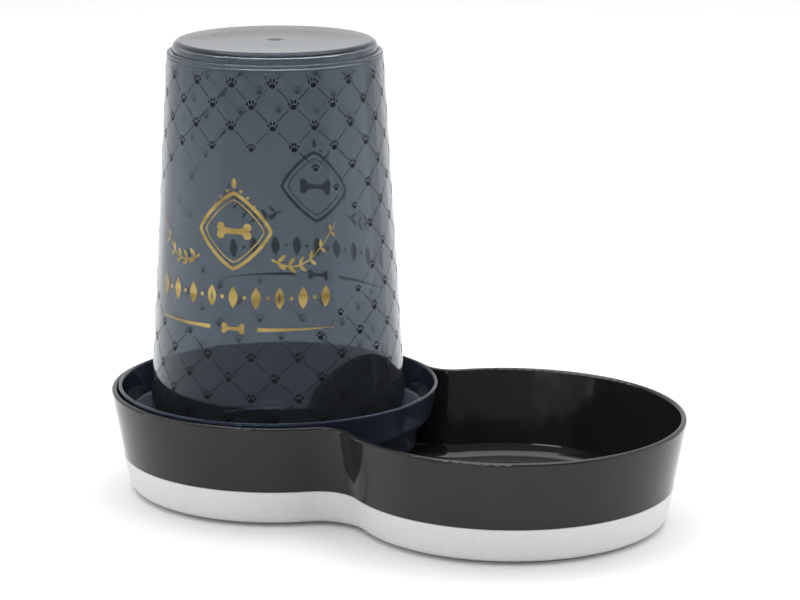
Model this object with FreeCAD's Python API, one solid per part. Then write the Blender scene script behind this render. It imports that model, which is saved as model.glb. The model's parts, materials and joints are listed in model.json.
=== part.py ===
import FreeCAD, Part
import math
import os

# Gravity pet feeder. A see-through reservoir stands mouth down in a collar dish, which nests in the
# smaller lobe of a figure-8 bowl. The bowl snaps onto a shallow shell on rubber feet.
#
# Millimetres and degrees. +Z is up and the floor is z = 0. The origin is under the middle of the
# object, +X points from the reservoir towards the eating lobe, and the XZ plane is a mirror plane.

# ---------------------------------------------------------------- driving dimensions
# Plan of the bowl, at its rim
RES_LOBE_R = 82.5         # outer radius of the lobe that holds the reservoir
BOWL_LOBE_R = 84.9        # outer radius of the eating lobe
LOBE_SPACING = 124.5      # between the two lobes' axes
WAIST_R = 14.0            # concave radius where the lobes meet

# Heights above the floor
TOTAL_H = 222.7
RIM_Z = 51.0              # bowl rim
SHELL_TOP_Z = 18.1        # parting line between the bowl's skirt and the shell
BOWL_FLOOR_Z = 8.0        # upper face of the bowl's floor
FOOT_STAND = 1.2          # how far the feet hold the shell off the floor

# Bowl
OUTER_DRAFT = 10.0
INNER_DRAFT = 12.5
RIM_W = 2.9
RIM_ROUND = 0.45          # rounding of a rim's two edges, as a share of its width
BOWL_WALL = 2.4
SKIRT_W = 2.2             # width of the skirt's lower edge
BOWL_CORNER_R = 8.0       # inside, from wall to floor
BOWL_HEEL_R = 10.4        # outside, from wall to floor, hidden in the shell
HEEL_SHARE = 0.9          # the most of the hidden wall's height that this rounding takes
LEDGE_T = 2.0             # ledge that carries the collar dish
LEDGE_DROP = 7.0          # height over which the ledge runs back into the wall
LEDGE_GAP = 1.9           # between the ledge and the collar's socket

# Shell
SHELL_PROUD = 0.35        # the shell stands this much outside the skirt
SHELL_DRAFT = 11.5
SHELL_WALL = 2.2
SHELL_FLOOR = 2.4
SHELL_HEEL_R = 5.0
BEARER_R = 37.0           # round rib that carries each lobe's floor
BEARER_W = 2.0

# Snap fit between bowl and shell
SNAP_RIB_INSET = 2.4      # from the shell's wall, at its foot, to the bowl's snap rib
SNAP_RIB_W = 1.8
SNAP_BEAD = 0.8
SNAP_BEAD_H = 2.0
SNAP_CATCH_H = 2.2
SNAP_ANGLE = 12.0         # each bead's share of its lobe
SNAP_CLEAR = 0.3

# Feet
FOOT_R = 7.0
FOOT_POCKET = 1.5
FOOT_RING_R = 54.0        # from a lobe's axis to its feet
FOOT_CLEAR = 0.1

# Collar dish
COLLAR_RISE = 1.4         # above the bowl's rim
COLLAR_GAP = 0.5          # to the bowl's rim
COLLAR_WALL = 1.9
COLLAR_DEPTH = 17.5       # height of its outer wall
COLLAR_FLOOR = 2.0
COLLAR_HEEL_R = 3.5
SOCKET_DEPTH = 14.0       # from the collar's underside to the socket's underside
SOCKET_WALL = 2.0
SOCKET_HEEL_R = 2.5
TURN_CLEAR = 0.35         # between the turning reservoir and the socket

# Reservoir
TROUGH_W = 14.8           # between collar and reservoir, at the rim
RES_DRAFT = 3.53
RES_WALL = 2.2
MOUTH_EDGE_R = 0.5
CEILING_R = 1.5           # inside, from wall to shoulder
DISC_RISE = 5.3           # raised disc on the top
DISC_EDGE_R = 3.4
DISC_SIDE = 0.3           # how much narrower the disc is at its top
SHOULDER_W = 2.1          # flat ring around the disc
SHOULDER_R = 0.9
GROOVE_W = 0.6
GROOVE_D = 0.8
DISH_D = 0.7              # hollow of the disc's top
DISH_SHARE = 0.5          # share of the disc's radius where the hollow is flat
DISH_BLEND_R = 840.0
DIMPLE_R = 4.8            # moulding marks on the disc: a dimple in the middle and a fine ring
DIMPLE_FLAT_R = 1.2
DIMPLE_D = 0.5
RING_MARK_R = 4.4
RING_MARK_W = 0.5
RING_MARK_D = 0.3
RING_MARK_PLACE = (-30.0, 1.0)

# Twist lock and outlet
LUG_COUNT = 3
LUG_START = 30.0          # angle of the first lug
LUG_ANGLE = 20.0
LUG_REACH = 2.2
LUG_H = 4.0
LUG_RISE = 3.8            # from the reservoir's mouth to its lugs
TWIST = 65.0              # from locked to free
ANGLE_CLEAR = 1.0
WINDOW_COUNT = 4
WINDOW_START = 45.0       # angle of the first window's middle
WINDOW_ANGLE = 36.0
WINDOW_IN_R = 16.0
WINDOW_RIM = 8.0          # from the socket's bore to the windows
GATE_T = 1.8
GATE_GAP = 0.3
GATE_RIM = 2.3            # from the reservoir's inner wall to the gate's edge
SEAL_T = 1.4
SEAL_GAP = 0.1
KEY_W = 3.0               # ribs in the reservoir that turn the gate
KEY_REACH = 5.2
KEY_H = 18.0
KEY_ANGLES = (90, 270)
FORK_W = 3.0
FORK_H = 6.0
FORK_REACH = 3.6
PIN_R = 2.5               # rivet that holds the gate
PIN_SHOULDER_R = 4.0
PIN_HEAD_R = 8.0
PIN_HEAD_T = 1.8
PIN_HEAD_ROUND = 1.2
PIN_TIP_R = 3.4
PIN_TIP_H = 1.5
PIN_TIP_TAPER = 1.0

# Edges and cuts
EDGE_R = 0.3              # small rounding on hidden edges
SHELL_LIP_R = 0.5
FOOT_EDGE_R = 0.5
OVERRUN = 1.0             # how far a cutting body runs past what it cuts

# ---------------------------------------------------------------- places worked out from them
LENGTH = RES_LOBE_R + LOBE_SPACING + BOWL_LOBE_R
RES_X = -LENGTH / 2 + RES_LOBE_R
BOWL_X = LENGTH / 2 - BOWL_LOBE_R
RES_CENTRE = (RES_X, 0.0)
BOWL_CENTRE = (BOWL_X, 0.0)

COLLAR_TOP_Z = RIM_Z + COLLAR_RISE
COLLAR_Z = COLLAR_TOP_Z - COLLAR_DEPTH
SOCKET_Z = COLLAR_Z - SOCKET_DEPTH
SOCKET_FLOOR_Z = SOCKET_Z + COLLAR_FLOOR
COLLAR_R = RES_LOBE_R - RIM_W - COLLAR_GAP
MOUTH_Z = SOCKET_FLOOR_Z + SEAL_T + SEAL_GAP
RES_RIM_R = COLLAR_R - COLLAR_WALL - TROUGH_W
SHOULDER_Z = TOTAL_H - DISC_RISE

ORIGIN = FreeCAD.Vector(0, 0, 0)
UP = FreeCAD.Vector(0, 0, 1)
TOUCHING = 1e-6           # points nearer than this are one point


def slope(angle):
    return math.tan(math.radians(angle))


def reservoir_r(z):
    """Outer radius of the reservoir's cone at height z."""
    return RES_RIM_R + (RIM_Z - z) * slope(RES_DRAFT)


SOCKET_R = reservoir_r(MOUTH_Z) + TURN_CLEAR
LUG_R = SOCKET_R - TURN_CLEAR + LUG_REACH
SOCKET_OUT_R = LUG_R + TURN_CLEAR + SOCKET_WALL
WINDOW_OUT_R = SOCKET_R - WINDOW_RIM
GATE_Z = SOCKET_FLOOR_Z + GATE_GAP
GATE_TOP_Z = GATE_Z + GATE_T
GATE_R = reservoir_r(MOUTH_Z) - RES_WALL - GATE_RIM


# ---------------------------------------------------------------- profiles
def rounded_edges(corners, place):
    """Edges of a closed profile. Each corner is (u, z, radius) and place turns (u, z) into 3-D."""
    points = [FreeCAD.Vector(u, 0, z) for u, z, radius in corners]
    stretches = []
    for i, (u, z, radius) in enumerate(corners):
        corner = points[i]
        before = (points[i - 1] - corner).normalize()
        after = (points[(i + 1) % len(points)] - corner).normalize()
        half = before.getAngle(after) / 2
        if radius == 0:
            stretches.append((corner, None, corner))
            continue
        reach = radius / math.tan(half)
        middle = (before + after).normalize() * (radius / math.sin(half) - radius)
        stretches.append((corner + before * reach, corner + middle, corner + after * reach))
    edges = []
    for i, (start, middle, end) in enumerate(stretches):
        if middle is not None:
            arc_points = [place(p.x, p.z) for p in (start, middle, end)]
            edges.append(Part.Arc(*arc_points).toShape())
        following = stretches[(i + 1) % len(stretches)][0]
        if end.distanceToPoint(following) > TOUCHING:
            edges.append(Part.makeLine(place(end.x, end.z), place(following.x, following.z)))
    return edges


def profile_face(corners, place):
    return Part.Face(Part.Wire(rounded_edges(corners, place)))


def spin(corners, centre=RES_CENTRE, start=0.0, sweep=360.0):
    """Solid of revolution about a vertical axis, from corners given as (radius, z, rounding)."""
    face = profile_face(corners, lambda r, z: FreeCAD.Vector(r, 0, z))
    solid = face.revolve(ORIGIN, UP, sweep)
    solid.rotate(ORIGIN, UP, start)
    solid.translate(FreeCAD.Vector(centre[0], centre[1], 0))
    return solid


def block(r0, r1, width, z0, z1, angle, across=0.0):
    """Radial block on the reservoir's axis, its middle set off sideways by across."""
    solid = Part.makeBox(r1 - r0, width, z1 - z0, FreeCAD.Vector(r0, across - width / 2, z0))
    solid.rotate(ORIGIN, UP, angle)
    solid.translate(FreeCAD.Vector(RES_X, 0, 0))
    return solid


def join(first, others):
    return first.fuse(others).removeSplitter()


# ---------------------------------------------------------------- figure-8 outline
def waist_centre():
    """Centre of the concave waist arc on the +Y side."""
    to_res = RES_LOBE_R + WAIST_R
    to_bowl = BOWL_LOBE_R + WAIST_R
    along = (LOBE_SPACING ** 2 + to_res ** 2 - to_bowl ** 2) / (2 * LOBE_SPACING)
    return (RES_X + along, math.sqrt(to_res ** 2 - along ** 2))


WAIST_X, WAIST_Y = waist_centre()
RES_TANGENT = math.degrees(math.atan2(WAIST_Y, WAIST_X - RES_X))
BOWL_TANGENT = math.degrees(math.atan2(WAIST_Y, WAIST_X - BOWL_X))
WAIST_SWEEP = BOWL_TANGENT - RES_TANGENT

# Each stretch of the outline: centre, radius, side that faces out, first angle and sweep.
STRETCHES = [
    (RES_CENTRE, RES_LOBE_R, 1, RES_TANGENT, 360 - 2 * RES_TANGENT),
    (BOWL_CENTRE, BOWL_LOBE_R, 1, -BOWL_TANGENT, 2 * BOWL_TANGENT),
    ((WAIST_X, WAIST_Y), WAIST_R, -1, 180 + RES_TANGENT, WAIST_SWEEP),
    ((WAIST_X, -WAIST_Y), WAIST_R, -1, 180 - BOWL_TANGENT, WAIST_SWEEP),
]


def band(corners):
    """Wall that follows the outline. Corners are (u, z, rounding), u outwards from the outline."""
    pieces = []
    for centre, radius, side, start, sweep in STRETCHES:
        turned = [(radius + side * u, z, rounding) for u, z, rounding in corners]
        pieces.append(spin(turned, centre, start, sweep))
    return join(pieces[0], pieces[1:])


def slab(offset, z0, z1):
    """Flat plate whose edge is the outline set off by offset."""
    edges = []
    for centre, radius, side, start, sweep in STRETCHES:
        reach = radius + side * offset
        circle = Part.Circle(FreeCAD.Vector(centre[0], centre[1], z0), UP, reach)
        first = math.radians(start)
        edges.append(Part.ArcOfCircle(circle, first, first + math.radians(sweep)).toShape())
    face = Part.Face(Part.Wire(Part.__sortEdges__(edges)))
    return face.extrude(FreeCAD.Vector(0, 0, z1 - z0))


def skirt_u(z):
    """Outer face of the bowl at height z, from the outline."""
    return -(RIM_Z - z) * slope(OUTER_DRAFT)


def well_u(z):
    """Straight part of the bowl's inner wall at height z, from the outline."""
    return -RIM_W - (RIM_Z - z) * slope(INNER_DRAFT)


def shell_u(z):
    """Outer face of the shell at height z, from the outline."""
    return skirt_u(SHELL_TOP_Z) + SHELL_PROUD - (SHELL_TOP_Z - z) * slope(SHELL_DRAFT)


SHELL_FLOOR_Z = FOOT_STAND + SHELL_FLOOR
BOWL_UNDER_Z = BOWL_FLOOR_Z - BOWL_WALL
SHELL_IN_U = shell_u(SHELL_FLOOR_Z) - SHELL_WALL
# The rounding between the bowl's inner wall and its floor meets the floor here.
WELL_FLAT_U = well_u(BOWL_FLOOR_Z) - BOWL_CORNER_R / slope((90 + INNER_DRAFT) / 2)


def well_z(u):
    """Height of the inner rounding between wall and floor."""
    return BOWL_FLOOR_Z + BOWL_CORNER_R - math.sqrt(BOWL_CORNER_R ** 2 - (u - WELL_FLAT_U) ** 2)


# Snap fit: a rib under the bowl carries beads, and each bead clicks under a catch in the shell.
SNAP_OUT_U = SHELL_IN_U - SNAP_RIB_INSET
SNAP_IN_U = SNAP_OUT_U - SNAP_RIB_W
SNAP_FOOT_Z = SHELL_FLOOR_Z + SNAP_CLEAR
SNAP_TOP_Z = well_z((SNAP_OUT_U + SNAP_IN_U) / 2) - BOWL_WALL / 2
CATCH_Z = SNAP_FOOT_Z + SNAP_BEAD_H + SNAP_CLEAR
SNAPS = [(RES_CENTRE, RES_LOBE_R, angle) for angle in (100, 180, 260)]
SNAPS += [(BOWL_CENTRE, BOWL_LOBE_R, angle) for angle in (-80, 0, 80)]

FEET = [(RES_CENTRE, angle) for angle in (80, 180, 280)]
FEET += [(BOWL_CENTRE, angle) for angle in (-80, 0, 80)]


# ---------------------------------------------------------------- shapes that pieces share
def ring_sector(r0, r1, z0, z1, start, sweep):
    return spin([(r0, z0, 0), (r1, z0, 0), (r1, z1, 0), (r0, z1, 0)], RES_CENTRE, start, sweep)


def disc(radius, z0, z1):
    return spin([(0, z0, 0), (radius, z0, 0), (radius, z1, 0), (0, z1, 0)])


def lug_angle(i):
    return LUG_START + i * 360 / LUG_COUNT


def window_angle(i):
    return WINDOW_START + i * 360 / WINDOW_COUNT


def foot_disc(centre, angle, radius, top, rounding):
    """Upright disc from the floor to top, at one foot's place."""
    turn = math.radians(angle)
    place = (centre[0] + FOOT_RING_R * math.cos(turn), centre[1] + FOOT_RING_R * math.sin(turn))
    return spin([(0, 0, 0), (radius, 0, rounding), (radius, top, 0), (0, top, 0)], place)


# ---------------------------------------------------------------- pieces
def base_shell():
    """Shallow tray with a low drafted wall, ribs under the bowl's floor and pockets for the feet."""
    foot_u = shell_u(FOOT_STAND)
    flat_u = foot_u - 2 * SHELL_HEEL_R
    top_u = shell_u(SHELL_TOP_Z)
    wall = band([
        (top_u, SHELL_TOP_Z, SHELL_LIP_R),
        (foot_u, FOOT_STAND, SHELL_HEEL_R),
        (flat_u, FOOT_STAND, 0),
        (flat_u, SHELL_FLOOR_Z, 0),
        (SHELL_IN_U, SHELL_FLOOR_Z, SHELL_WALL),
        (top_u - SHELL_WALL, SHELL_TOP_Z, EDGE_R),
    ])
    extras = [slab(flat_u, FOOT_STAND, SHELL_FLOOR_Z)]
    for centre in (RES_CENTRE, BOWL_CENTRE):
        extras.append(spin([
            (BEARER_R, FOOT_STAND + SHELL_FLOOR / 2, 0),
            (BEARER_R, BOWL_UNDER_Z, 0),
            (BEARER_R - BEARER_W, BOWL_UNDER_Z, 0),
            (BEARER_R - BEARER_W, FOOT_STAND + SHELL_FLOOR / 2, 0),
        ], centre))
    for centre, radius, angle in SNAPS:
        tip = radius + SNAP_OUT_U + SNAP_CLEAR
        root = radius + SHELL_IN_U + SHELL_WALL / 2
        extras.append(spin([
            (root, CATCH_Z, 0),
            (root, CATCH_Z + SNAP_CATCH_H, 0),
            (tip, CATCH_Z + SNAP_CATCH_H / 2, 0),
            (tip, CATCH_Z, 0),
        ], centre, angle - SNAP_ANGLE / 2, SNAP_ANGLE))
    shell = join(wall, extras)
    for centre, angle in FEET:
        shell = shell.cut(foot_disc(centre, angle, FOOT_R + FOOT_CLEAR, FOOT_STAND + FOOT_POCKET, 0))
    return shell


def bowl():
    """Figure-8 bowl: a rounded rim, an outer skirt down to the shell, and a deep rounded well."""
    skirt_foot = skirt_u(SHELL_TOP_Z)
    heel_u = skirt_foot - SKIRT_W - (SHELL_TOP_Z - BOWL_UNDER_Z) * slope(SHELL_DRAFT)
    heel_r = min(BOWL_HEEL_R, HEEL_SHARE * (SHELL_TOP_Z - BOWL_UNDER_Z))
    wall = band([
        (0, RIM_Z, RIM_ROUND * RIM_W),
        (skirt_foot, SHELL_TOP_Z, EDGE_R),
        (skirt_foot - SKIRT_W, SHELL_TOP_Z, 0),
        (heel_u, BOWL_UNDER_Z, heel_r),
        (WELL_FLAT_U, BOWL_UNDER_Z, 0),
        (WELL_FLAT_U, BOWL_FLOOR_Z, 0),
        (well_u(BOWL_FLOOR_Z), BOWL_FLOOR_Z, BOWL_CORNER_R),
        (-RIM_W, RIM_Z, RIM_ROUND * RIM_W),
    ])
    ledge_in_r = SOCKET_OUT_R + LEDGE_GAP
    ledge_root = RES_LOBE_R + well_u(COLLAR_Z) + RIM_W / 2
    ledge = spin([
        (ledge_root, COLLAR_Z, 0),
        (ledge_in_r, COLLAR_Z, EDGE_R),
        (ledge_in_r, COLLAR_Z - LEDGE_T, EDGE_R),
        (ledge_root, COLLAR_Z - LEDGE_DROP, 0),
    ], RES_CENTRE, RES_TANGENT, 360 - 2 * RES_TANGENT)
    snap_rib = band([
        (SNAP_OUT_U, SNAP_TOP_Z, 0),
        (SNAP_OUT_U, SNAP_FOOT_Z, 0),
        (SNAP_IN_U, SNAP_FOOT_Z, 0),
        (SNAP_IN_U, SNAP_TOP_Z, 0),
    ])
    extras = [slab(WELL_FLAT_U, BOWL_UNDER_Z, BOWL_FLOOR_Z), ledge, snap_rib]
    for centre, radius, angle in SNAPS:
        face = radius + SNAP_OUT_U
        extras.append(spin([
            (face - SNAP_RIB_W / 2, SNAP_FOOT_Z, 0),
            (face, SNAP_FOOT_Z, 0),
            (face + SNAP_BEAD, SNAP_FOOT_Z + SNAP_BEAD_H / 2, 0),
            (face, SNAP_FOOT_Z + SNAP_BEAD_H, 0),
            (face - SNAP_RIB_W / 2, SNAP_FOOT_Z + SNAP_BEAD_H, 0),
        ], centre, angle - SNAP_ANGLE / 2, SNAP_ANGLE))
    return join(wall, extras)


def collar_dish():
    """Round dish with a deep socket for the reservoir's mouth, twist-lock slots and outlet windows."""
    foot_r = COLLAR_R - COLLAR_DEPTH * slope(INNER_DRAFT)
    inner_foot_r = foot_r - COLLAR_WALL + COLLAR_FLOOR * slope(INNER_DRAFT)
    trough_z = COLLAR_Z + COLLAR_FLOOR
    dish = spin([
        (COLLAR_R, COLLAR_TOP_Z, RIM_ROUND * COLLAR_WALL),
        (foot_r, COLLAR_Z, COLLAR_HEEL_R),
        (SOCKET_OUT_R, COLLAR_Z, 0),
        (SOCKET_OUT_R, SOCKET_Z, SOCKET_HEEL_R),
        (0, SOCKET_Z, 0),
        (0, SOCKET_FLOOR_Z, 0),
        (SOCKET_R, SOCKET_FLOOR_Z, 0),
        (SOCKET_R, trough_z, EDGE_R),
        (inner_foot_r, trough_z, COLLAR_HEEL_R - COLLAR_WALL),
        (COLLAR_R - COLLAR_WALL, COLLAR_TOP_Z, RIM_ROUND * COLLAR_WALL),
    ])
    lug_z = MOUTH_Z + LUG_RISE
    slot_r = LUG_R + TURN_CLEAR
    for i in range(LUG_COUNT):
        start = lug_angle(i) - LUG_ANGLE / 2 - ANGLE_CLEAR
        slot_angle = LUG_ANGLE + 2 * ANGLE_CLEAR
        low = lug_z - TURN_CLEAR
        high = lug_z + LUG_H + TURN_CLEAR
        inner, above = SOCKET_R - OVERRUN, trough_z + OVERRUN
        dish = dish.cut(ring_sector(inner, slot_r, low, high, start, TWIST + slot_angle))
        dish = dish.cut(ring_sector(inner, slot_r, low, above, start + TWIST, slot_angle))
    for i in range(WINDOW_COUNT):
        start = window_angle(i) - WINDOW_ANGLE / 2
        below, above = SOCKET_Z - OVERRUN, SOCKET_FLOOR_Z + OVERRUN
        dish = dish.cut(ring_sector(WINDOW_IN_R, WINDOW_OUT_R, below, above, start, WINDOW_ANGLE))
    return dish.cut(disc(PIN_R, SOCKET_Z - OVERRUN, SOCKET_FLOOR_Z + OVERRUN))


def mouth_seal():
    """Flat ring under the reservoir's mouth."""
    outer = SOCKET_R - SEAL_GAP
    inner = reservoir_r(MOUTH_Z) - RES_WALL
    z0, z1 = SOCKET_FLOOR_Z, SOCKET_FLOOR_Z + SEAL_T
    return spin([(inner, z0, 0), (outer, z0, EDGE_R), (outer, z1, EDGE_R), (inner, z1, EDGE_R)])


def flow_gate():
    """Disc with windows like the socket's. Two forks embrace the reservoir's key ribs and turn it."""
    gate = spin([
        (0, GATE_Z, 0),
        (GATE_R, GATE_Z, EDGE_R),
        (GATE_R, GATE_TOP_Z, EDGE_R),
        (0, GATE_TOP_Z, 0),
    ])
    reach = GATE_R - SEAL_GAP
    post_across = KEY_W / 2 + GATE_GAP + FORK_W / 2
    posts = []
    for angle in KEY_ANGLES:
        for across in (-post_across, post_across):
            top = GATE_TOP_Z + FORK_H
            posts.append(block(reach - FORK_REACH, reach, FORK_W, GATE_Z, top, angle, across))
    gate = join(gate, posts)
    for i in range(WINDOW_COUNT):
        start = window_angle(i) - WINDOW_ANGLE / 2
        below, above = GATE_Z - OVERRUN, GATE_TOP_Z + OVERRUN
        gate = gate.cut(ring_sector(WINDOW_IN_R, WINDOW_OUT_R, below, above, start, WINDOW_ANGLE))
    return gate.cut(disc(PIN_SHOULDER_R + GATE_GAP, GATE_Z - OVERRUN, GATE_TOP_Z + OVERRUN))


def gate_pivot():
    """Push rivet: a domed head over the gate, a shoulder in its bore and a tip under the socket."""
    head_z = GATE_TOP_Z + GATE_GAP
    return spin([
        (0, SOCKET_Z - PIN_TIP_H, 0),
        (PIN_TIP_R - PIN_TIP_TAPER, SOCKET_Z - PIN_TIP_H, EDGE_R),
        (PIN_TIP_R, SOCKET_Z, 0),
        (PIN_R, SOCKET_Z, 0),
        (PIN_R, SOCKET_FLOOR_Z, 0),
        (PIN_SHOULDER_R, SOCKET_FLOOR_Z, 0),
        (PIN_SHOULDER_R, head_z, 0),
        (PIN_HEAD_R, head_z, EDGE_R),
        (PIN_HEAD_R, head_z + PIN_HEAD_T, PIN_HEAD_ROUND),
        (0, head_z + PIN_HEAD_T, 0),
    ])


def reservoir():
    """Tapered container, open below, with a raised disc on top, twist-lock lugs and key ribs."""
    mouth_r = reservoir_r(MOUTH_Z)
    shoulder_r = reservoir_r(SHOULDER_Z)
    disc_r = shoulder_r - SHOULDER_W - GROOVE_W
    disc_top_r = disc_r - DISC_SIDE
    ceiling_z = TOTAL_H - DISH_D - RES_WALL
    under_shoulder_z = SHOULDER_Z - RES_WALL
    body = spin([
        (mouth_r, MOUTH_Z, MOUTH_EDGE_R),
        (shoulder_r, SHOULDER_Z, SHOULDER_R),
        (disc_r + GROOVE_W, SHOULDER_Z, EDGE_R),
        (disc_r + GROOVE_W / 2, SHOULDER_Z - GROOVE_D, 0),
        (disc_r, SHOULDER_Z - GROOVE_D, 0),
        (disc_top_r, TOTAL_H, DISC_EDGE_R),
        (DISH_SHARE * disc_top_r, TOTAL_H - DISH_D, DISH_BLEND_R),
        (0, TOTAL_H - DISH_D, 0),
        (0, ceiling_z, 0),
        (disc_top_r - RES_WALL, ceiling_z, DISC_EDGE_R - RES_WALL),
        (disc_r - RES_WALL, under_shoulder_z, 0),
        (reservoir_r(under_shoulder_z) - RES_WALL, under_shoulder_z, CEILING_R),
        (mouth_r - RES_WALL, MOUTH_Z, EDGE_R),
    ])
    lug_z = MOUTH_Z + LUG_RISE
    extras = []
    for i in range(LUG_COUNT):
        start = lug_angle(i) - LUG_ANGLE / 2
        root = mouth_r - RES_WALL / 2
        extras.append(ring_sector(root, LUG_R, lug_z, lug_z + LUG_H, start, LUG_ANGLE))
    key_root = reservoir_r(MOUTH_Z + KEY_H) - RES_WALL / 2
    key_tip = mouth_r - RES_WALL - KEY_REACH
    key_z = GATE_TOP_Z + GATE_GAP
    for angle in KEY_ANGLES:
        extras.append(block(key_tip, key_root, KEY_W, key_z, key_z + KEY_H, angle))
    body = join(body, extras)
    return body.cut(dimple()).cut(ring_mark())


def dimple():
    """What the moulding gate leaves in the middle of the disc."""
    surface = TOTAL_H - DISH_D
    above = TOTAL_H + OVERRUN
    return spin([
        (0, surface - DIMPLE_D, 0),
        (DIMPLE_FLAT_R, surface - DIMPLE_D, 0),
        (DIMPLE_R, surface, 0),
        (DIMPLE_R, above, 0),
        (0, above, 0),
    ])


def ring_mark():
    """Fine ring that an ejector leaves on the disc."""
    low = TOTAL_H - DISH_D - RING_MARK_D
    above = TOTAL_H + OVERRUN
    inner = RING_MARK_R - RING_MARK_W
    place = (RES_X + RING_MARK_PLACE[0], RING_MARK_PLACE[1])
    return spin([(inner, low, 0), (RING_MARK_R, low, 0), (RING_MARK_R, above, 0), (inner, above, 0)], place)


def write(name, shape):
    if not shape.isValid() or len(shape.Solids) != 1:
        raise ValueError(name + " is not one valid solid")
    shape.Solids[0].exportStep("parts/" + name + ".step")


os.makedirs("parts", exist_ok=True)
write("base_shell", base_shell())
write("bowl", bowl())
for number, (foot_centre, foot_angle) in enumerate(FEET, start=1):
    foot_top = FOOT_STAND + FOOT_POCKET
    write(f"foot_{number}", foot_disc(foot_centre, foot_angle, FOOT_R, foot_top, FOOT_EDGE_R))
write("collar_dish", collar_dish())
write("mouth_seal", mouth_seal())
write("flow_gate", flow_gate())
write("gate_pivot", gate_pivot())
write("reservoir", reservoir())
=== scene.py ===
"""The looks of a gravity pet feeder: materials, printed decoration, stage, lights and camera.

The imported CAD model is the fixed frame. Everything is in metres, +Z up, standing on z = 0.
"""
import json
import math

import bpy
from mathutils import Matrix, Vector


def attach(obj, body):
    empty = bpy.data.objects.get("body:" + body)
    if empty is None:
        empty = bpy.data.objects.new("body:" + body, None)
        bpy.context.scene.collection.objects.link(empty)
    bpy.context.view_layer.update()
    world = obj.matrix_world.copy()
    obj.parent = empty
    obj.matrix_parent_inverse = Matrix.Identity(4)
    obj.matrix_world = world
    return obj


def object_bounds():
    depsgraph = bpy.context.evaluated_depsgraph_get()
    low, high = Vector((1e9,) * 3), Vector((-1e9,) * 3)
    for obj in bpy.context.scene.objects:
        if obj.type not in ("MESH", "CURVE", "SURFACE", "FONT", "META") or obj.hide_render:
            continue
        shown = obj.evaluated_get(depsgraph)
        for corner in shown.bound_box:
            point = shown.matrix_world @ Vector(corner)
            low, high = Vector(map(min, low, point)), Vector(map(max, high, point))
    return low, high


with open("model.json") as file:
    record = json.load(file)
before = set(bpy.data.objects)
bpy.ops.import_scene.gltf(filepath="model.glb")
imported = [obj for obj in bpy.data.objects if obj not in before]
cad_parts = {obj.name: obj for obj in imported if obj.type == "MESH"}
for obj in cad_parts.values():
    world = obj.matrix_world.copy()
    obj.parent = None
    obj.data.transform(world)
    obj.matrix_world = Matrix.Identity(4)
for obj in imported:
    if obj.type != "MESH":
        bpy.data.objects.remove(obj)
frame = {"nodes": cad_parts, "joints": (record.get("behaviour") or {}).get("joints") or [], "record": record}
cad_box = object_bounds()

MM = 0.001

# ---------------------------------------------------------------- camera
CAMERA_AZIMUTH = 25.85       # degrees round from -Y towards +X
CAMERA_ELEVATION = 13.56
CAMERA_DISTANCE = 1.350      # from the point it looks at
CAMERA_LENS = 126.3          # mm on a 36 mm wide sensor
AIM_RIGHT = 0.0031           # the point it looks at, off the middle of the object
AIM_UP = -0.0111

# ---------------------------------------------------------------- print on the reservoir
INK_INNER = 0.01 * MM        # the ink's two faces, out from the wall
INK_OUTER = 0.06 * MM
PRINT_TOP = 0.2130           # nothing is printed above this

ORNAMENT_TURN = math.radians(7.5)   # the front ornament's place round the cone, from -Y
ORNAMENT_Z = 0.1395                 # middle of its lozenge
BAND_DROP = 31.5 * MM               # from there down to the row of lozenges
BAND_STEP = 11.2 * MM
RULE_DROP = 46.5 * MM               # and down to the two rules
RULE_START = 12.0 * MM
RULE_LENGTH = 37.0 * MM

LATTICE_COLUMNS = 17
LATTICE_ROWS = 17
LATTICE_BOTTOM = 0.0494      # height of the lowest row of paws
LATTICE_ROW = 0.00997        # from one row to the next
LATTICE_TURN = math.radians(5.6)
LATTICE_LINE = 0.15 * MM     # half of a line's width
THINNEST_LINE = 0.15         # as a share of that; a fainter line is left out
PAW_CLEARANCE = 0.23         # share of a lattice side left free at each paw
SMALLEST_PAW = 0.2           # a paw is left out where the lattice is printed more faintly

# An ellipse round each ornament where the lattice is left out, and the shares of its reach over
# which the lattice comes back.
CLEAR_HALF_ANGLE = math.radians(72)
CLEAR_Z = 0.131
CLEAR_HALF_HEIGHT = 0.049
FADE_START = 0.86
FADE_SHARE = 0.22

# Heights at which a ray finds the reservoir's wall.
WALL_LOW = 0.07
WALL_HIGH = 0.19


def direction(azimuth, elevation):
    """Unit vector; azimuth runs from -Y towards +X, both in degrees."""
    turn = math.radians(azimuth)
    rise = math.radians(elevation)
    return Vector((math.sin(turn) * math.cos(rise), -math.cos(turn) * math.cos(rise), math.sin(rise)))


def facing(back):
    """Rotation of a camera or light that looks against the unit vector back."""
    right = Vector((0, 0, 1)).cross(back).normalized()
    up = back.cross(right)
    return Matrix((right, up, back)).transposed()


def make_camera():
    middle = (Vector(cad_box[0]) + Vector(cad_box[1])) / 2
    back = direction(CAMERA_AZIMUTH, CAMERA_ELEVATION)
    turn = facing(back)
    aim = middle + turn.col[0] * AIM_RIGHT + turn.col[1] * AIM_UP
    camera = bpy.data.objects.new("camera", bpy.data.cameras.new("camera"))
    camera.data.lens = CAMERA_LENS
    camera.data.clip_end = 50
    camera.matrix_world = Matrix.Translation(aim + back * CAMERA_DISTANCE) @ turn.to_4x4()
    bpy.context.scene.collection.objects.link(camera)
    bpy.context.scene.camera = camera


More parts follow.
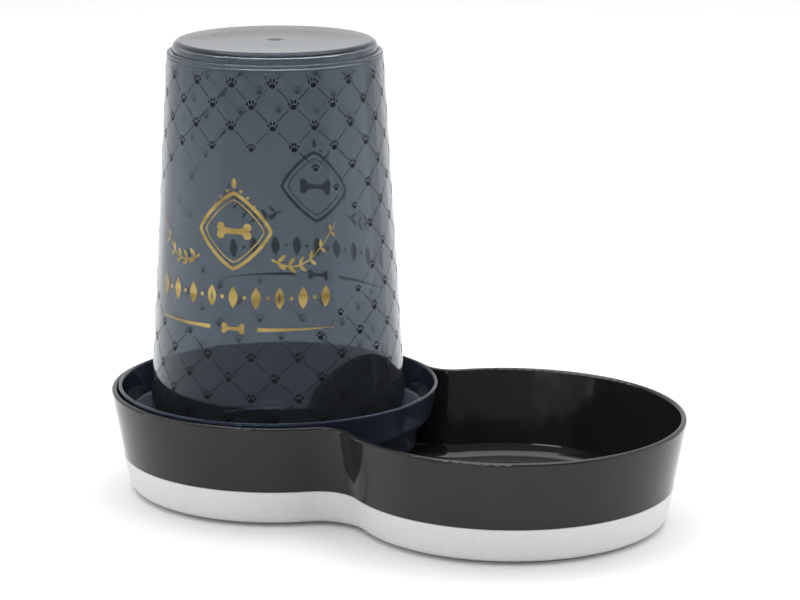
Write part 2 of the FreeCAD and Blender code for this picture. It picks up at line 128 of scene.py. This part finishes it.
# ---------------------------------------------------------------- material helpers
class Surface:
    """A new node material with a Principled shader and short ways to add detail."""

    def __init__(self, name, **values):
        self.material = bpy.data.materials.new(name)
        self.material.use_nodes = True
        self.nodes = self.material.node_tree.nodes
        self.links = self.material.node_tree.links
        self.shader = self.nodes["Principled BSDF"]
        for socket, value in values.items():
            self.shader.inputs[socket.replace("_", " ")].default_value = value

    def place(self, scale=(1, 1, 1)):
        """Object coordinates in metres, stretched by scale."""
        coordinates = self.nodes.new("ShaderNodeTexCoord")
        mapping = self.nodes.new("ShaderNodeMapping")
        mapping.inputs["Scale"].default_value = scale
        self.links.new(coordinates.outputs["Object"], mapping.inputs["Vector"])
        return mapping.outputs["Vector"]

    def noise(self, scale, detail=3.0, stretch=(1, 1, 1)):
        texture = self.nodes.new("ShaderNodeTexNoise")
        texture.inputs["Scale"].default_value = scale
        texture.inputs["Detail"].default_value = detail
        self.links.new(self.place(stretch), texture.inputs["Vector"])
        return texture.outputs["Fac"]

    def spread(self, factor, low, high, start=0.3, end=0.7):
        """Maps a noise factor onto the range low to high."""
        remap = self.nodes.new("ShaderNodeMapRange")
        remap.inputs["From Min"].default_value = start
        remap.inputs["From Max"].default_value = end
        remap.inputs["To Min"].default_value = low
        remap.inputs["To Max"].default_value = high
        self.links.new(factor, remap.inputs["Value"])
        return remap.outputs["Result"]

    def blend(self, factor, first, second):
        """A colour between first and second."""
        mix = self.nodes.new("ShaderNodeMix")
        mix.data_type = "RGBA"
        mix.inputs["A"].default_value = (*first, 1)
        mix.inputs["B"].default_value = (*second, 1)
        self.links.new(factor, mix.inputs["Factor"])
        return mix.outputs["Result"]

    def colour(self, factor, first, second):
        self.links.new(self.blend(factor, first, second), self.shader.inputs["Base Color"])

    def roughness(self, factor, low, high):
        self.links.new(self.spread(factor, low, high), self.shader.inputs["Roughness"])

    def bumps(self, *layers):
        """Stacks (factor, strength, height) layers of relief, the height in metres."""
        normal = None
        for factor, strength, height in layers:
            bump = self.nodes.new("ShaderNodeBump")
            bump.inputs["Strength"].default_value = strength
            bump.inputs["Distance"].default_value = height
            self.links.new(factor, bump.inputs["Height"])
            if normal is not None:
                self.links.new(normal, bump.inputs["Normal"])
            normal = bump.outputs["Normal"]
        self.links.new(normal, self.shader.inputs["Normal"])


# ---------------------------------------------------------------- materials
def shell_plastic():
    """Light-grey moulding with a fine spark-eroded satin texture."""
    surface = Surface("shell_plastic_look", IOR=1.5)
    grains = surface.spread(surface.noise(900), 0, 1)
    surface.colour(grains, (0.70, 0.70, 0.705), (0.76, 0.76, 0.76))
    surface.roughness(surface.noise(60), 0.42, 0.55)
    surface.bumps((surface.noise(2600, 2), 0.35, 0.00004), (surface.noise(14), 0.1, 0.0004))
    return surface.material


def bowl_plastic():
    """Polished black moulding with a faint ripple, flow streaks and wiping marks."""
    surface = Surface("bowl_plastic_look", IOR=1.4)
    streaks = surface.noise(35, 4, stretch=(1, 1, 0.25))
    surface.colour(surface.spread(streaks, 0, 1), (0.013, 0.013, 0.013), (0.018, 0.018, 0.0183))
    surface.roughness(surface.noise(110, 6), 0.06, 0.13)
    surface.bumps((surface.noise(16, 2), 0.25, 0.0005), (surface.noise(420, 2), 0.08, 0.00003))
    return surface.material


def foot_rubber():
    """Fine matt rubber."""
    surface = Surface("foot_rubber_look", IOR=1.45)
    surface.colour(surface.spread(surface.noise(700), 0, 1), (0.10, 0.10, 0.10), (0.16, 0.16, 0.16))
    surface.roughness(surface.noise(250), 0.65, 0.85)
    surface.bumps((surface.noise(1800, 2), 0.4, 0.00005))
    return surface.material


def smoky_plastic(name, first, second, weight):
    """Polished see-through plastic; the two colours are what one wall lets through."""
    surface = Surface(name, IOR=1.43, Transmission_Weight=weight, Specular_Tint=(0.42, 0.52, 0.66, 1.0))
    streaks = surface.noise(22, 3, stretch=(1, 1, 0.2))
    surface.colour(surface.spread(streaks, 0, 1), first, second)
    surface.roughness(surface.noise(130, 6), 0.0, 0.035)
    surface.bumps((surface.noise(14, 2), 0.12, 0.0003))
    return surface.material


def reservoir_plastic():
    return smoky_plastic("reservoir_plastic_look", (0.232, 0.262, 0.292), (0.247, 0.278, 0.309), 0.93)


def collar_plastic():
    return smoky_plastic("collar_plastic_look", (0.10, 0.125, 0.19), (0.115, 0.14, 0.21), 0.80)


def seal_silicone():
    """Smoky silicone rubber, slightly waxy."""
    surface = Surface("seal_silicone_look", IOR=1.41, Subsurface_Weight=0.2, Subsurface_Scale=0.002)
    surface.colour(surface.spread(surface.noise(500), 0, 1), (0.12, 0.13, 0.15), (0.17, 0.18, 0.20))
    surface.roughness(surface.noise(200), 0.4, 0.55)
    surface.bumps((surface.noise(1300, 2), 0.2, 0.00003))
    return surface.material


def inner_plastic(name, first, second):
    """Dark satin moulding for the gate and its rivet."""
    surface = Surface(name, IOR=1.5)
    surface.colour(surface.spread(surface.noise(300), 0, 1), first, second)
    surface.roughness(surface.noise(150), 0.3, 0.42)
    surface.bumps((surface.noise(1500, 2), 0.2, 0.00003), (surface.noise(40), 0.1, 0.0002))
    return surface.material


def black_ink():
    """Screen-printed ink, a little uneven in density."""
    surface = Surface("black_ink", Specular_IOR_Level=0.12)
    density = surface.spread(surface.noise(1500), 0, 1)
    surface.colour(density, (0.004, 0.005, 0.007), (0.009, 0.010, 0.013))
    surface.roughness(surface.noise(900), 0.45, 0.6)
    surface.bumps((surface.noise(3000, 2), 0.3, 0.00002))
    return surface.material


def gold_ink():
    """Metallic gold print with darker and brighter bands, as foil has."""
    surface = Surface("gold_ink", Metallic=0.8)
    bands = surface.noise(95, 2, stretch=(0.6, 0.6, 1.6))
    surface.colour(surface.spread(bands, 0, 1), (0.21, 0.145, 0.04), (0.50, 0.375, 0.13))
    surface.roughness(surface.noise(1200), 0.32, 0.5)
    surface.bumps((surface.noise(2500, 2), 0.3, 0.00002))
    return surface.material


def dress_nodes():
    """Gives every CAD node its finished material."""
    gate = inner_plastic("gate_plastic_look", (0.030, 0.034, 0.045), (0.042, 0.047, 0.060))
    pivot = inner_plastic("pivot_plastic_look", (0.055, 0.060, 0.072), (0.070, 0.076, 0.090))
    looks = {
        "shell_plastic": shell_plastic(),
        "bowl_plastic": bowl_plastic(),
        "foot_rubber": foot_rubber(),
        "collar_plastic": collar_plastic(),
        "seal_silicone": seal_silicone(),
        "gate_plastic": gate,
        "pivot_plastic": pivot,
        "reservoir_plastic": reservoir_plastic(),
    }
    slots = {part["node"]: part["material_slot"] for part in frame["record"]["subparts"]}
    for name, node in frame["nodes"].items():
        for slot in node.material_slots:
            slot.material = looks[slots[name]]


# ---------------------------------------------------------------- printing on the cone
def cone():
    """The reservoir's axis in X, its radius at z = 0 and the radius lost per metre of height."""
    reservoir = frame["nodes"]["reservoir"]
    twist = next(joint for joint in frame["joints"] if joint["name"] == "reservoir_twist")
    axis = twist["pos_m"][0]
    radii = []
    for z in (WALL_LOW, WALL_HIGH):
        hit, point, _, _ = reservoir.ray_cast(Vector((axis, -1, z)), Vector((0, 1, 0)))
        if not hit:
            raise RuntimeError("the reservoir's wall was not found")
        radii.append(-point.y)
    taper = (radii[0] - radii[1]) / (WALL_HIGH - WALL_LOW)
    return axis, radii[0] + taper * WALL_LOW, taper


class Print:
    """A thin layer of ink on the cone, drawn with strokes.

    A point is (u, z): z is its height, and u its distance round the cone from the upright line
    at the angle turn.
    """

    def __init__(self):
        self.axis, self.base_radius, self.taper = cone()
        self.verts = []
        self.faces = []

    def radius(self, z):
        return self.base_radius - self.taper * z

    def on_wall(self, u, z, turn, out):
        radius = self.radius(z)
        angle = turn + u / radius
        radius += out
        return self.axis + radius * math.sin(angle), -radius * math.cos(angle), z

    def stroke(self, points, halves, turn, closed=False):
        """A strip through the points, each with its half width, closed on itself if asked."""
        count = len(points)
        first = len(self.verts)
        for i, (u, z) in enumerate(points):
            before = points[i - 1] if i > 0 or closed else points[0]
            after = points[(i + 1) % count] if i < count - 1 or closed else points[-1]
            along = Vector((after[0] - before[0], after[1] - before[1])).normalized()
            for side in (1, -1):
                across = Vector((-along.y, along.x)) * halves[i] * side
                for out in (INK_OUTER, INK_INNER):
                    self.verts.append(self.on_wall(u + across.x, z + across.y, turn, out))
        ring = (0, 1, 3, 2)      # the corners of one cross-section, in order round it
        for i in range(count if closed else count - 1):
            a = first + 4 * i
            b = first + 4 * ((i + 1) % count)
            for j in range(4):
                here, there = ring[j], ring[(j + 1) % 4]
                self.faces.append((a + here, b + here, b + there, a + there))
        if not closed:
            last = first + 4 * (count - 1)
            self.faces.append(tuple(first + k for k in ring))
            self.faces.append(tuple(last + k for k in reversed(ring)))

    def blob(self, centre, along, across, turn, tilt=0.0, steps=7, power=0.5):
        """An ellipse, or a pointed leaf if power is 1; along and across are its half sizes."""
        points = []
        halves = []
        for i in range(steps):
            share = -math.cos(math.pi * (i + 0.15) / (steps - 0.7))
            reach = along * share
            points.append((centre[0] + reach * math.cos(tilt), centre[1] + reach * math.sin(tilt)))
            halves.append(across * max(1 - share * share, 0.0) ** power)
        self.stroke(points, halves, turn)

    def piece(self, name, material):
        mesh = bpy.data.meshes.new(name)
        mesh.from_pydata(self.verts, [], self.faces)
        mesh.materials.append(material)
        mesh.validate()
        mesh.update()
        made = bpy.data.objects.new(name, mesh)
        bpy.context.scene.collection.objects.link(made)
        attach(made, "container")
        return made


def print_strength(angle, z):
    """How strongly the lattice is printed: 1 far from the two ornaments, 0 around them."""
    offsets = [angle - ORNAMENT_TURN - side for side in (0, math.pi)]
    nearest = min(abs(math.remainder(offset, math.tau)) for offset in offsets)
    reach = math.hypot(nearest / CLEAR_HALF_ANGLE, (z - CLEAR_Z) / CLEAR_HALF_HEIGHT)
    return min(max((reach - FADE_START) / FADE_SHARE, 0.0), 1.0)


def paw(ink, z, turn, size):
    """A small generic paw mark: one pad and four toes."""
    unit = size * MM
    ink.blob((0, z - 0.95 * unit), 1.5 * unit, 1.15 * unit, turn)
    # An inner and an outer toe: place to the side and up, half length, half width and lean.
    toes = ((0.75, 1.65, 0.92, 0.50, 8), (1.98, 0.55, 0.82, 0.46, 25))
    for side in (-1, 1):
        for u, rise, length, width, lean in toes:
            tilt = math.radians(90 - side * lean)
            ink.blob((side * u * unit, z + rise * unit), length * unit, width * unit, turn, tilt)


def lattice():
    """Diagonal lines all round the cone with a paw mark at each crossing."""
    ink = Print()
    column = math.tau / LATTICE_COLUMNS
    for row in range(LATTICE_ROWS):
        z = LATTICE_BOTTOM + row * LATTICE_ROW
        staggered = (LATTICE_ROWS - 1 - row) % 2
        for k in range(LATTICE_COLUMNS):
            angle = LATTICE_TURN + (k + 0.5 * staggered) * column
            size = print_strength(angle, z)
            if size > SMALLEST_PAW:
                paw(ink, z, angle, 0.55 + 0.45 * size)
            for side in (-1, 1):
                lattice_line(ink, angle, z, side * column / 2)
    return ink.piece("lattice_print", black_ink())


def lattice_line(ink, angle, z, turn_by, steps=5):
    """A line from one crossing to the next one up, short of both paws and of the print's top."""
    start = PAW_CLEARANCE
    end = min(1 - PAW_CLEARANCE, (PRINT_TOP - z) / LATTICE_ROW)
    points = []
    halves = []
    for i in range(steps):
        share = start + (end - start) * i / (steps - 1)
        height = z + LATTICE_ROW * share
        points.append((turn_by * share * ink.radius(height), height))
        halves.append(LATTICE_LINE * print_strength(angle + turn_by * share, height))
    if min(halves) > THINNEST_LINE * LATTICE_LINE:
        ink.stroke(points, halves, angle)


def bone(ink, u, z, length, turn):
    """A generic bone: a waisted shaft with two knobs at each end."""
    half = length / 2
    stations = [-half + length * i / 6 for i in range(7)]
    widths = [length * (0.10 + 0.06 * abs(s / half) ** 2) for s in stations]
    ink.stroke([(u + s, z) for s in stations], widths, turn)
    knob = 0.165 * length
    for end in (-1, 1):
        for side in (-1, 1):
            ink.blob((u + end * half * 1.06, z + side * length * 0.145), knob, knob, turn, steps=9)


def frame_line(ink, half_width, half_height, line, turn, steps=12):
    """A lozenge frame with slightly bowed sides: a superellipse with the power 1.25."""
    power = 1.25
    points = []
    for i in range(4 * steps):
        angle = math.tau * i / (4 * steps)
        right, up = math.cos(angle), math.sin(angle)
        bow = (abs(right) ** power + abs(up) ** power) ** (-1 / power)
        points.append((half_width * bow * right, ORNAMENT_Z + half_height * bow * up))
    ink.stroke(points, [line] * len(points), turn, closed=True)


def sprig(ink, side, turn):
    """A leafy twig that leaves the lozenge sideways and curls up at its end."""
    count = 13
    points = []
    for i in range(count):
        share = i / (count - 1)
        u = side * (18.5 + 31.0 * share) * MM
        rise = (-13.0 + 16.0 * share ** 2 - 6.0 * math.sin(math.pi * share)) * MM
        points.append((u, ORNAMENT_Z + rise))
    ink.stroke(points, [(0.55 - 0.035 * i) * MM for i in range(count)], turn)
    for i in range(1, count, 2):
        u, z = points[i]
        lift = math.radians(38 + 3 * i)
        size = (2.9 - 0.1 * i) * MM
        for way in (1, -1):
            tilt = way * lift + math.radians(2.5 * i)
            centre = (u + side * size * math.cos(tilt), z + size * math.sin(tilt))
            lean = tilt if side > 0 else math.pi - tilt
            ink.blob(centre, size, 0.36 * size, turn, lean, power=1.0)


def ornament(side_turn, name, material):
    """An own gold ornament: a bone in a lozenge, two sprigs, a band of lozenges and two rules."""
    ink = Print()
    turn = ORNAMENT_TURN + side_turn
    frame_line(ink, 18.0 * MM, 18.0 * MM, 0.85 * MM, turn)
    frame_line(ink, 14.8 * MM, 14.8 * MM, 0.28 * MM, turn)
    bone(ink, 0, ORNAMENT_Z, 12.5 * MM, turn)
    for side in (-1, 1):
        sprig(ink, side, turn)
        for step in (1, 2, 3):
            z = ORNAMENT_Z + (20.5 - 1.6 * step ** 1.5) * MM
            dot = (1.0 - 0.18 * step) * MM
            ink.blob((side * 3.4 * MM * step, z), dot, dot, turn, steps=9)
    ink.blob((0, ORNAMENT_Z + 22.5 * MM), 2.6 * MM, 1.3 * MM, turn, math.pi / 2, power=1.0)
    band(ink, turn)
    rules(ink, turn)
    return ink.piece(name, material)


def band(ink, turn):
    """A row of upright lozenges with dots between them, under the sprigs."""
    z = ORNAMENT_Z - BAND_DROP
    dot = 0.95 * MM
    for k in range(-4, 5):
        ink.blob((k * BAND_STEP, z), 5.2 * MM, 2.3 * MM, turn, math.pi / 2, steps=9, power=1.0)
        if k < 4:
            ink.blob(((k + 0.5) * BAND_STEP, z), dot, dot, turn, steps=9)


def rules(ink, turn, steps=10):
    """Two rules that taper outwards, with a small bone between them."""
    z = ORNAMENT_Z - RULE_DROP
    for side in (-1, 1):
        stations = [RULE_START + RULE_LENGTH * i / steps for i in range(steps + 1)]
        widths = [(0.95 - 0.075 * i) * MM for i in range(steps + 1)]
        ink.stroke([(side * u, z) for u in stations], widths, turn)
    bone(ink, 0, z, 8.5 * MM, turn)


# ---------------------------------------------------------------- stage and lights
FLOOR_RADIUS = 9.0
LIGHT_AIM = Vector((0, 0, 0.1))      # the point that every panel faces


def floor():
    """A large plain pale floor."""
    surface = Surface("floor_paper", Roughness=0.9)
    surface.shader.inputs["Specular IOR Level"].default_value = 0.0
    surface.colour(surface.spread(surface.noise(3), 0, 1), (0.915, 0.915, 0.915), (0.93, 0.93, 0.93))
    count = 96
    angles = [math.tau * i / count for i in range(count)]
    ring = [(FLOOR_RADIUS * math.cos(angle), FLOOR_RADIUS * math.sin(angle), 0) for angle in angles]
    mesh = bpy.data.meshes.new("floor")
    mesh.from_pydata(ring, [], [tuple(range(count))])
    mesh.materials.append(surface.material)
    made = bpy.data.objects.new("floor", mesh)
    bpy.context.scene.collection.objects.link(made)


def surroundings(front, back):
    """Even white light from all round, dimmer on the side where the camera stands."""
    world = bpy.data.worlds.new("studio")
    world.use_nodes = True
    nodes = world.node_tree.nodes
    links = world.node_tree.links
    coordinates = nodes.new("ShaderNodeTexCoord")
    # 1 in the camera's direction and a little up, and -1 in the opposite one.
    toward = nodes.new("ShaderNodeVectorMath")
    toward.operation = "DOT_PRODUCT"
    toward.inputs[1].default_value = direction(CAMERA_AZIMUTH, 20)
    level = nodes.new("ShaderNodeMapRange")
    level.interpolation_type = "SMOOTHSTEP"
    level.inputs["From Min"].default_value = -0.3
    level.inputs["From Max"].default_value = 0.8
    level.inputs["To Min"].default_value = back
    level.inputs["To Max"].default_value = front
    links.new(coordinates.outputs["Generated"], toward.inputs[0])
    links.new(toward.outputs["Value"], level.inputs["Value"])
    links.new(level.outputs["Result"], nodes["Background"].inputs["Strength"])
    nodes["Background"].inputs["Color"].default_value = (1, 1, 1, 1)
    bpy.context.scene.world = world


def panel(name, azimuth, elevation, distance, size, brightness, colour=(1, 1, 1)):
    """A soft rectangular light that faces the object; azimuth counts from the camera's.

    The brightness is what a mirror would show of it, where 1 is white.
    """
    light = bpy.data.lights.new(name, "AREA")
    light.shape = "RECTANGLE"
    light.size, light.size_y = size
    light.energy = 4 / math.pi * brightness * size[0] * size[1]
    light.color = colour
    back = direction(CAMERA_AZIMUTH + azimuth, elevation)
    made = bpy.data.objects.new(name, light)
    made.matrix_world = Matrix.Translation(LIGHT_AIM + back * distance) @ facing(back).to_4x4()
    bpy.context.scene.collection.objects.link(made)


def make_lights():
    surroundings(0.35, 0.85)
    panel("softbox", -30, 12.5, 1.25, (0.50, 0.14), 16.0)
    panel("left_panel", -85, 8, 0.62, (0.66, 0.5), 0.9)
    panel("right_panel", 82, 8, 0.62, (0.66, 0.5), 1.9, (1.0, 0.92, 0.87))
    panel("overhead", 180, 84, 2.4, (2.8, 2.6), 6.9)
    bpy.context.scene.view_settings.view_transform = "Standard"


make_camera()
dress_nodes()
lattice()
gold = gold_ink()
ornament(0.0, "front_ornament", gold)
ornament(math.pi, "back_ornament", gold)
floor()
make_lights()
